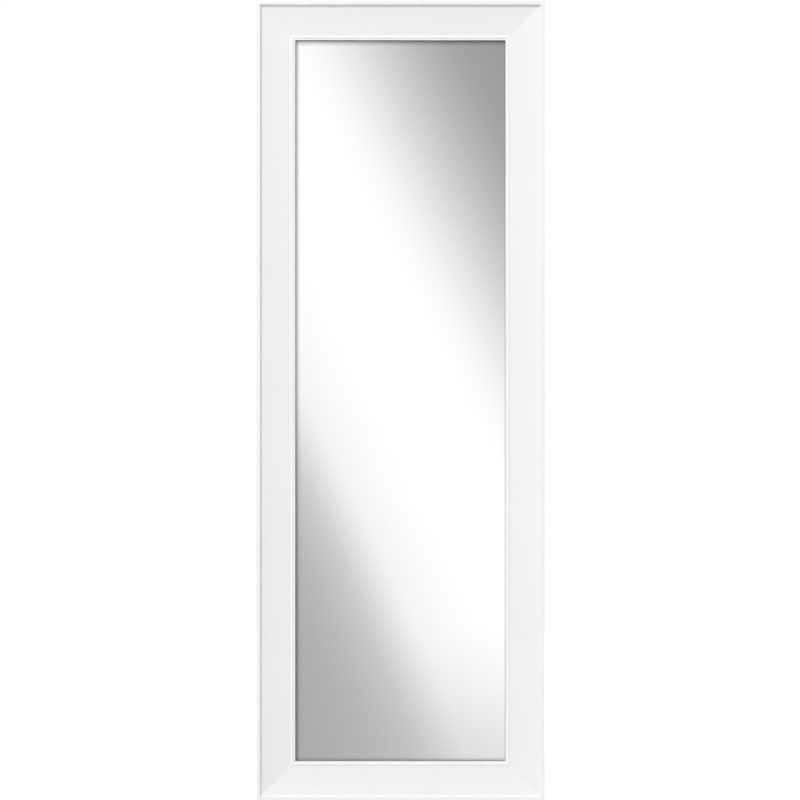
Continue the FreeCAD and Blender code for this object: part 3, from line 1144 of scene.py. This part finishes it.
@dataclass
class MirrorPane:
    """What lies in the frame's rebate: tape, silvered glass, blocks, card and board."""

    moulding: MouldedFrame
    arris: float = 0.0005
    silver_overlap: float = 0.00005

    def glass(self) -> Workpiece:
        """Make the pane, its edges ground off, with its back face just behind the face of the silver.

        Returns:
            The pane.
        """
        low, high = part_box("mirror_glass")
        outline = Outline.start((low.x, low.z), (high.x, low.z), (high.x, high.z), (low.x, high.z))
        outline.close()
        pane = Workpiece.drawn("glass_pane", outline.laid(BACK * low.y, ACROSS, UP))
        pane.thicken(BACK * (high.y - low.y + self.silver_overlap))
        pane.ease_edges(self.arris, segments=2)
        pane.close()
        pane.dress(ClearGlass())
        return pane

    def build(self) -> None:
        """Make the pane, and give each CAD layer its finish."""
        moulding = self.moulding
        for side in ("bottom", "top", "left", "right"):
            dress_node(f"glazing_tape_{side}", Woven())
        self.glass().deliver("frame", "clear_glass", "mirror_glass")
        dress_node("silver_coat", Silvering(moulding.half_x, moulding.half_z, moulding.middle_z))
        dress_node("setting_blocks", PACKING_RUBBER)
        dress_node("side_packers", PACKING_RUBBER)
        dress_node("interleaf_sheet", Card())
        dress_node("backing_board", Hardboard())


@dataclass
class PanScrew:
    """A pan head screw with a cross recess, its head standing up along +Y."""

    shank_radius: float = 0.002
    head_radius: float = 0.0038
    head_height: float = 0.0024
    head_edge: float = 0.0008
    head_ease: float = 0.0002
    tip: float = 0.004
    thread_pitch: float = 0.0014
    thread_depth: float = 0.00035
    recess_width: float = 0.0011
    recess_length: float = 0.0042
    recess_depth: float = 0.0013
    recess_taper: float = 0.75

    def outline(self, length: float) -> Outline:
        """Half the screw's section, from its point to the crown of its head.

        Args:
            length: How far the shank reaches below the head.

        Returns:
            The outline, radius by height.
        """
        root = self.shank_radius - self.thread_depth
        thread_start = self.tip - length
        threads = int((length - self.tip) / self.thread_pitch)
        outline = Outline.start((0.0, -length))
        for number in range(threads):
            base = thread_start + number * self.thread_pitch
            outline.run((root, base), (self.shank_radius, base + self.thread_pitch / 2))
        outline.run((root, thread_start + threads * self.thread_pitch), (root, 0.0))
        outline.run((self.head_radius - self.head_ease, 0.0), (self.head_radius, self.head_ease))
        outline.run((self.head_radius, self.head_edge))
        dome = self.head_height - self.head_edge
        dome_radius = (self.head_radius**2 + dome**2) / (2 * dome)
        crown_angle = math.asin(self.head_radius / dome_radius)
        outline.arc_round((0.0, self.head_height - dome_radius), crown_angle, steps=10)
        return outline

    def recess_bar(self, turn: float) -> Workpiece:
        """One bar of the cross recess, narrower at its foot.

        Args:
            turn: Its turn about the screw, in radians.

        Returns:
            The bar.
        """
        x, z = self.recess_length / 2, self.recess_width / 2
        spin = Matrix.Rotation(turn, 4, "Y")
        top = self.head_height + self.head_edge
        foot = self.head_height - self.recess_depth
        outline = Outline.start((x, z), (x, -z), (-x, -z), (-x, z))
        outline.close()
        bar = Workpiece.drawn("recess_bar", outline.laid(BACK * top, spin @ ACROSS, spin @ UP))
        bar.thicken(BACK * (foot - top))
        with bar.editing(Pick.VERT):
            bar.select(Pick.VERT, lambda vert: vert.co.y < self.head_height)
            taper = (self.recess_taper, 1.0, self.recess_taper)
            bpy.ops.transform.resize(value=taper, center_override=BACK * foot)
        return bar

    def build(self, name: str, length: float) -> Workpiece:
        """Turn one screw about the Y axis, with the underside of its head at the origin.

        Args:
            name: The piece's name.
            length: How far the shank reaches below the head.

        Returns:
            The screw.
        """
        screw = Workpiece.drawn(name, self.outline(length).laid(ORIGIN, ACROSS, BACK))
        screw.turn_round(steps=36)
        for turn in (0.0, QUARTER_TURN):
            screw.carve(self.recess_bar(turn))
        screw.close()
        return screw.finished(ZINC, angle=35.0)


@dataclass
class TurnButtons:
    """The teardrop plates that hold the backing board in, and their screws."""

    screw: PanScrew
    heel_radius: float = 0.007
    tip_radius: float = 0.0045
    reach: float = 0.020
    thickness: float = 0.0015
    tip_lift: float = 0.001
    bend_length: float = 0.006
    folds: int = 5
    fold_pitch: float = 0.001
    hole_radius: float = 0.0021
    edge_ease: float = 0.00025
    head_play: float = 0.0001
    screw_length: float = 0.012
    slot: str = "zinc_plated_steel"

    def plate(self) -> Workpiece:
        """Make one plate at the origin, its tip towards +Z and its foot on the XZ plane.

        Returns:
            The plate.
        """
        lean = math.asin((self.heel_radius - self.tip_radius) / self.reach)
        side = Vector((math.cos(lean), math.sin(lean)))
        tip = Vector((0.0, self.reach))
        outline = Outline.start(Vector((-side.x, side.y)) * self.heel_radius)
        outline.arc_round((0.0, 0.0), math.pi + 2 * lean, steps=30)
        outline.run(tip + side * self.tip_radius)
        outline.arc_round(tip, math.pi - 2 * lean, steps=22)
        outline.close()
        plate = Workpiece.drawn("turn_button", outline.laid(ORIGIN, ACROSS, UP))
        plate.fill()
        bend = self.reach + self.tip_radius - self.bend_length
        folds = [bend + (number - self.folds / 2) * self.fold_pitch for number in range(self.folds)]
        for fold in folds:
            plate.cut(UP * fold, UP, clear=False)
        step = math.atan(self.tip_lift / self.bend_length) / self.folds
        with plate.editing(Pick.VERT):
            for fold in folds:
                plate.select(Pick.VERT, lambda vert: vert.co.z > fold + MERGE_REACH)
                bpy.ops.transform.rotate(value=step, orient_axis="X", center_override=UP * fold)
        plate.close()
        with plate.editing(Pick.FACE):
            faces = bmesh.from_edit_mesh(plate.piece.data).faces
            if sum(face.normal.y for face in faces) > 0:
                bpy.ops.mesh.flip_normals()
        plate.modify("SOLIDIFY", thickness=self.thickness, offset=-1.0)
        plate.drill(BACK * -self.thickness, self.hole_radius, 3 * self.thickness)
        plate.ease_edges(self.edge_ease, segments=3)
        plate.close()
        return plate.finished(ZINC)

    def build(self) -> None:
        """Put a plate and a screw at each turning joint."""
        plate = self.plate()
        seat = BACK * (self.thickness + self.head_play)
        moves = []
        for body, pivot in hinged("turn_button_"):
            low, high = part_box(body)
            inward = (low + high) / 2 - pivot
            turn = Matrix.Rotation(math.atan2(inward.x, inward.z), 4, "Y")
            button = plate.copied(f"{body}_plate", Matrix.Translation(pivot) @ turn)
            button.deliver(body, self.slot, body)
            moves.append(Matrix.Translation(pivot + seat) @ turn)
        bpy.data.objects.remove(plate.piece)
        screws = self.screw.build("button_screw", self.screw_length).scattered("button_screws", moves)
        screws.deliver("frame", self.slot, "turn_button_screws")


@dataclass
class Hangers:
    """A folded strap on each stile, the D-ring in its eye, and its screws."""

    screw: PanScrew
    strap_sheet: float = 0.0008
    strap_fold: float = 0.002
    strap_end: float = 0.98
    wire_radius: float = 0.0012
    eye_clearance: float = 0.0001
    screw_gap: float = 0.0005
    ring_screw_gap: float = 0.002
    ring_corner: float = 0.0032
    corner_steps: int = 10
    bow_steps: int = 36
    wire_sides: int = 24
    hole_radius: float = 0.00205
    layer_gap: float = 0.00002
    edge_ease: float = 0.00012
    screw_length: float = 0.015
    slot: str = "zinc_plated_steel"

    def strap(self, name: str, pivot: Vector, back: float, drops: Sequence[float]) -> Workpiece:
        """Fold one strap round its ring's bar.

        Args:
            name: The CAD node that the strap stands for.
            pivot: The middle of the ring's bar.
            back: The Y of the back of the frame.
            drops: How far the two screws are below the pivot.

        Returns:
            The strap.
        """
        low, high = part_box(name)
        half = (high.x - low.x) / 2
        foot = low.z - pivot.z
        half_sheet = self.strap_sheet / 2
        eye_radius = self.wire_radius + self.eye_clearance + half_sheet
        under = back + half_sheet - pivot.y
        over = under + self.strap_sheet
        shoulder = Vector((over, -eye_radius - half_sheet - self.strap_fold))
        touch = math.atan2(shoulder.y, shoulder.x) + math.acos(eye_radius / shoulder.length)
        outline = Outline.start((under, foot), (-eye_radius, 0.0))
        outline.arc_round((0.0, 0.0), touch - math.pi, steps=20)
        outline.run(shoulder, (over, foot))
        strap = Workpiece.drawn(f"{name}_folded", outline.laid(pivot - ACROSS * half, BACK, UP))
        strap.pull(ACROSS * (2 * half))
        strap.close()
        strap.modify("SOLIDIFY", thickness=self.strap_sheet - 2 * self.layer_gap, offset=0.0)

        def is_corner(edge: bmesh.types.BMEdge) -> bool:
            """Whether an edge is a corner of the strap's foot.

            Args:
                edge: The edge.

            Returns:
                True where it runs through the sheet at an end of the foot.
            """
            first, second = (vert.co for vert in edge.verts)
            spot = (first + second) / 2 - pivot
            runs_through = abs(first.y - second.y) > half_sheet
            return runs_through and spot.z < foot + half_sheet and abs(abs(spot.x) - half) < half_sheet

        with strap.editing(Pick.EDGE):
            strap.select(Pick.EDGE, is_corner)
            bpy.ops.mesh.bevel(offset=half * self.strap_end, segments=12, affect="EDGES")
        strap.ease_edges(self.edge_ease, segments=2)
        for drop in drops:
            start = Vector((pivot.x, back - self.strap_sheet, pivot.z - drop))
            strap.drill(start, self.hole_radius, 5 * self.strap_sheet)
        strap.close()
        return strap.finished(ZINC)

    def ring(self, name: str, pivot: Vector) -> Workpiece:
        """Bend one D-ring from round wire, lying as its CAD node lies.

        Args:
            name: The CAD node that the ring stands for.
            pivot: The middle of its bar.

        Returns:
            The ring.
        """
        low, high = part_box(name)
        half = (high.x - low.x) / 2 - self.wire_radius
        drop = pivot.z - low.z - self.wire_radius
        lean = math.asin((high.y - self.wire_radius - pivot.y) / drop)
        down = Vector((0, math.sin(lean), -math.cos(lean)))
        leg = drop / math.cos(lean) - half
        bar = ACROSS * (half - self.ring_corner)
        side = down * (leg - self.ring_corner)
        corner = pivot + down * self.ring_corner
        bends = (
            (bar, corner + bar, QUARTER_TURN, self.corner_steps),
            (side, pivot + down * leg, math.pi, self.bow_steps),
            (-side, corner - bar, QUARTER_TURN, self.corner_steps),
        )
        # The spin tool turns clockwise about its axis.
        axis = down.cross(ACROSS)
        ring = Workpiece.ring(f"{name}_wire", pivot, ACROSS, self.wire_radius, self.wire_sides)
        with ring.editing(Pick.EDGE):
            for run, centre, angle, steps in bends:
                bpy.ops.mesh.extrude_edges_move(TRANSFORM_OT_translate={"value": run})
                bpy.ops.mesh.spin(steps=steps, angle=angle, center=centre, axis=axis)
            bpy.ops.mesh.extrude_edges_move(TRANSFORM_OT_translate={"value": bar})
        ring.close(self.layer_gap)
        return ring.finished(ZINC, angle=60.0)

    def build(self) -> None:
        """Build the strap and ring on each stile, then all four screws."""
        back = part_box("backing_board")[1].y
        seat = back + 2 * self.strap_sheet
        eye_radius = self.wire_radius + self.eye_clearance + self.strap_sheet
        near = eye_radius + self.strap_fold + self.screw_gap + self.screw.head_radius
        moves = []
        for body, pivot in hinged("hanger_ring_"):
            reach = pivot.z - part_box(body)[0].z
            drops = (near, reach + self.ring_screw_gap + self.screw.head_radius)
            strap_node = body.replace("ring", "strap")
            self.strap(strap_node, pivot, back, drops).deliver("frame", self.slot, strap_node)
            self.ring(body, pivot).deliver(body, self.slot, body)
            moves += [Matrix.Translation((pivot.x, seat, pivot.z - drop)) for drop in drops]
        screws = self.screw.build("hanger_screw", self.screw_length).scattered("strap_screws", moves)
        screws.deliver("frame", self.slot, "hanger_screws")


@dataclass
class RubberFeet:
    """The bumpers that meet the wall, and the pads that meet the floor."""

    bumper_rim: float = 0.0004
    bumper_round: float = 0.0012
    tip_radius: float = 0.0075
    dimple_radius: float = 0.0032
    dimple_depth: float = 0.0006
    pad_corner: float = 0.004
    pad_ease: float = 0.0003
    slot: str = "grey_rubber"

    def bumper(self) -> Workpiece:
        """Turn one bumper about the Y axis, its foot at the origin.

        Returns:
            The bumper.
        """
        low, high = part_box("wall_bumper_top_left")
        radius, height = (high.x - low.x) / 2, high.y - low.y
        dimple = height - self.dimple_depth
        outline = Outline.start((0.0, 0.0), (radius, 0.0), (radius, self.bumper_rim))
        outline.round_at((self.tip_radius, height), (0.0, height), self.bumper_round, steps=8)
        outline.run((self.dimple_radius, height), (self.dimple_radius - self.dimple_depth, dimple))
        outline.run((0.0, dimple))
        bumper = Workpiece.drawn("bumper", outline.laid(ORIGIN, ACROSS, BACK))
        bumper.turn_round(steps=56)
        return bumper.finished(GREY_RUBBER)

    def pad(self) -> Workpiece:
        """Make one foot pad, in the place of the left one.

        Returns:
            The pad.
        """
        low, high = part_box("foot_pad_left")
        corners = [(high.x, low.y), (high.x, high.y), (low.x, high.y), (low.x, low.y)]
        outline = Outline.start(((low.x + high.x) / 2, low.y))
        for corner, after in zip(corners, corners[1:] + corners[:1]):
            outline.round_at(corner, after, self.pad_corner, steps=8)
        outline.close()
        pad = Workpiece.drawn("left_pad", outline.laid(UP * high.z, ACROSS, BACK))
        pad.thicken(UP * (low.z - high.z))
        pad.ease_edges(self.pad_ease, segments=3)
        pad.close()
        return pad.finished(GREY_RUBBER)

    def build(self) -> None:
        """Put a bumper and a pad in the place of each CAD node."""
        bumper = self.bumper()
        for end in ("bottom", "top"):
            for side in ("left", "right"):
                node = f"wall_bumper_{end}_{side}"
                low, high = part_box(node)
                place = Vector(((low.x + high.x) / 2, low.y, (low.z + high.z) / 2))
                copy = bumper.copied(f"{end}_{side}_bumper", Matrix.Translation(place))
                copy.deliver("frame", self.slot, node)
        bpy.data.objects.remove(bumper.piece)
        left = self.pad()
        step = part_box("foot_pad_right")[0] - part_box("foot_pad_left")[0]
        right = left.copied("right_pad", Matrix.Translation(step))
        left.deliver("frame", self.slot, "foot_pad_left")
        right.deliver("frame", self.slot, "foot_pad_right")


@dataclass(frozen=True)
class Lamp:
    """A soft square lamp, by its place, its power in watts and its side."""

    name: str
    place: Triple
    power: float
    size: float

    def hang(self, target: Vector) -> None:
        """Hang the lamp, pointed at a target.

        Args:
            target: What it points at.
        """
        data = bpy.data.lights.new(self.name, "AREA")
        data.shape = "SQUARE"
        data.size = self.size
        data.energy = self.power
        lamp = bpy.data.objects.new(self.name, data)
        lamp.location = self.place
        lamp.rotation_euler = (target - Vector(self.place)).to_track_quat("-Z", "Y").to_euler()
        lamp.visible_camera = False
        bpy.context.scene.collection.objects.link(lamp)


@dataclass
class Studio:
    """The camera, the floor, the lamps, and the white room that the glass reflects."""

    moulding: MouldedFrame
    camera_distance: float = 5.5
    camera_reach: float = 50.0
    sensor: float = 36.0
    shift_across: float = -0.0005
    shift_up: float = 0.0009
    floor_front: float = 3.0
    floor_back: float = 4.0
    floor_half_width: float = 4.0
    floor_colour: Colour = (0.66, 0.66, 0.66)
    floor_lift: float = 0.6
    lamps: tuple[Lamp, ...] = (
        Lamp("key_lamp", (-6.2, -11.0, 11.2), 1500.0, 2.0),
        Lamp("back_lamp", (1.6, 3.4, 2.2), 40.0, 2.0),
    )
    room_light: float = 0.625
    gloss_light: float = 1.09
    front_edge: Span = (-0.25, 0.15)
    band_slope: float = 0.505
    band: tuple[Span, ...] = (
        (-0.50, 0.34), (-0.36, 0.43), (-0.26, 0.55), (-0.18, 0.92), (0.0, 1.0),
        (0.16, 0.99), (0.28, 0.67), (0.42, 0.33), (0.56, 0.33),
    )
    spread_reach: Span = (-1.25, -0.19)
    spread_low: float = 0.67
    foot_place: float = -0.75
    foot_reach: Span = (0.0, 0.36)
    foot_share: float = 0.45
    foot_grey: Colour = (0.44, 0.44, 0.44)
    room_lean: Triple = (0.45, 0.0, 0.89)
    room_tones: tuple[Span, ...] = (
        (0.0, 0.50), (0.18, 0.82), (0.30, 0.50), (0.40, 0.73),
        (0.48, 0.91), (0.58, 0.55), (0.72, 0.82), (1.0, 0.45),
    )

    def camera(self) -> None:
        """Look straight at the mirror, so that the frame's height just fills the picture."""
        front = self.moulding.back - self.moulding.depth + self.moulding.edge_round
        height = 2 * (self.moulding.half_z + self.moulding.width)
        data = bpy.data.cameras.new("camera")
        data.sensor_width = self.sensor
        data.lens = self.sensor * self.camera_distance / height
        data.shift_x, data.shift_y = self.shift_across, self.shift_up
        data.clip_end = self.camera_reach
        camera = bpy.data.objects.new("camera", data)
        camera.location = (0.0, front - self.camera_distance, self.moulding.middle_z)
        camera.rotation_euler = (QUARTER_TURN, 0.0, 0.0)
        bpy.context.scene.collection.objects.link(camera)
        bpy.context.scene.camera = camera

    def floor(self) -> None:
        """A pale floor that takes the object's shadow and is otherwise white in the picture."""
        middle = BACK * ((self.floor_back - self.floor_front) / 2)
        bpy.ops.object.select_all(action="DESELECT")
        bpy.ops.mesh.primitive_plane_add(size=1.0, location=middle)
        bpy.context.object.scale = (2 * self.floor_half_width, self.floor_back + self.floor_front, 1)
        floor = Workpiece.begun("studio_floor").piece
        graph = Graph.named("studio_floor")
        pale = graph.add("BsdfDiffuse", {"Color": (*self.floor_colour, 1.0)}).outputs[0]
        seen = graph.add("LightPath", {}).outputs["Is Camera Ray"]
        glow = graph.add("Emission", {"Strength": graph.times(seen, self.floor_lift)}).outputs[0]
        surface = graph.add("AddShader", {0: pale, 1: glow}).outputs[0]
        floor.data.materials.append(graph.ended(surface))
        floor.visible_glossy = floor.visible_transmission = False

    @staticmethod
    def ramp(graph: Graph, along: Socket, tones: Sequence[Span]) -> Socket:
        """Grey that runs smoothly from tone to tone.

        Args:
            graph: The nodes to add to.
            along: How far from the first tone, at 0, to the last tone, at 1.
            tones: Each tone's mark, in rising order on any scale, and its level.

        Returns:
            The grey.
        """
        node = graph.add("ValToRGB", {"Fac": along})
        node.color_ramp.interpolation = "B_SPLINE"
        stops = node.color_ramp.elements
        stops.remove(stops[-1])
        first, last = tones[0][0], tones[-1][0]
        for number, (mark, level) in enumerate(tones):
            stop = stops.new((mark - first) / (last - first)) if number else stops[0]
            stop.color = (level, level, level, 1.0)
        return node.outputs["Color"]

    def light_in_front(self, graph: Graph, way: Socket) -> Socket:
        """Soft diagonal bands of light in front of the mirror, which widen and turn grey at their foot.

        Places are where the mirror shows them to an eye that looks straight at it.

        Args:
            graph: The room's nodes.
            way: The way that a ray leaves.

        Returns:
            The grey of the room in that way.
        """
        x, y, z = graph.split(way)
        turn = graph.math("ARCTAN2", x, graph.times(y, -1.0))
        height = graph.times(graph.math("ARCSINE", z), self.camera_distance)
        straight = graph.total((turn, self.camera_distance), (height, self.band_slope))
        across = graph.times(straight, graph.ease(height, *self.spread_reach, self.spread_low, 1.0))
        low, high = self.band[0][0], self.band[-1][0]
        to_and_fro = graph.math("PINGPONG", graph.math("SUBTRACT", across, low), high - low)
        tone = self.ramp(graph, graph.math("DIVIDE", to_and_fro, high - low), self.band)
        from_foot = graph.math("ABSOLUTE", graph.math("SUBTRACT", height, self.foot_place))
        foot = graph.ease(from_foot, *self.foot_reach, self.foot_share, 0.0)
        return graph.mix(foot, tone, self.foot_grey)

    def light_behind(self, graph: Graph, way: Socket) -> Socket:
        """The shaded room behind the mirror.

        Args:
            graph: The room's nodes.
            way: The way that a ray leaves.

        Returns:
            The grey of the room in that way.
        """
        lean = graph.add("VectorMath", {0: way, 1: self.room_lean}, operation="DOT_PRODUCT").outputs["Value"]
        rise = graph.add("MapRange", {"Value": lean, "From Min": -1.0}).outputs["Result"]
        return self.ramp(graph, rise, self.room_tones)

    def room(self) -> None:
        """White all round for the camera, even light on the object, and soft bands of light in gloss."""
        world = bpy.data.worlds.new("white_room")
        bpy.context.scene.world = world
        graph = Graph(world)
        rays = graph.add("LightPath", {}).outputs
        way = graph.add("TexCoord", {}).outputs["Generated"]
        behind = graph.ease(graph.split(way)[1], *self.front_edge)
        tone = graph.mix(behind, self.light_in_front(graph, way), self.light_behind(graph, way))
        white = (*WHITE, 1.0)
        shown = graph.add("Background", {"Color": white}).outputs[0]
        light = graph.add("Background", {"Color": white, "Strength": self.room_light}).outputs[0]
        gloss = graph.add("Background", {"Color": tone, "Strength": self.gloss_light}).outputs[0]
        by_gloss = graph.math("MAXIMUM", rays["Is Glossy Ray"], rays["Is Transmission Ray"])
        unseen = graph.add("MixShader", {0: by_gloss, 1: light, 2: gloss}).outputs[0]
        seen = graph.add("MixShader", {0: rays["Is Camera Ray"], 1: unseen, 2: shown}).outputs[0]
        graph.add("OutputWorld", {"Surface": seen})

    def build(self) -> None:
        """Set up the whole studio."""
        self.camera()
        self.floor()
        self.room()
        for lamp in self.lamps:
            lamp.hang(UP * self.moulding.middle_z)
        bpy.context.scene.view_settings.view_transform = "Standard"


def main() -> None:
    """Set up the studio, then build the mirror's sub-assemblies in order."""
    logging.basicConfig(level=logging.INFO, format="%(name)s: %(message)s")
    moulding = MouldedFrame()
    Studio(moulding).build()
    moulding.build()
    MirrorPane(moulding).build()
    screw = PanScrew()
    TurnButtons(screw).build()
    Hangers(screw).build()
    RubberFeet().build()


if __name__ == "__main__":
    main()
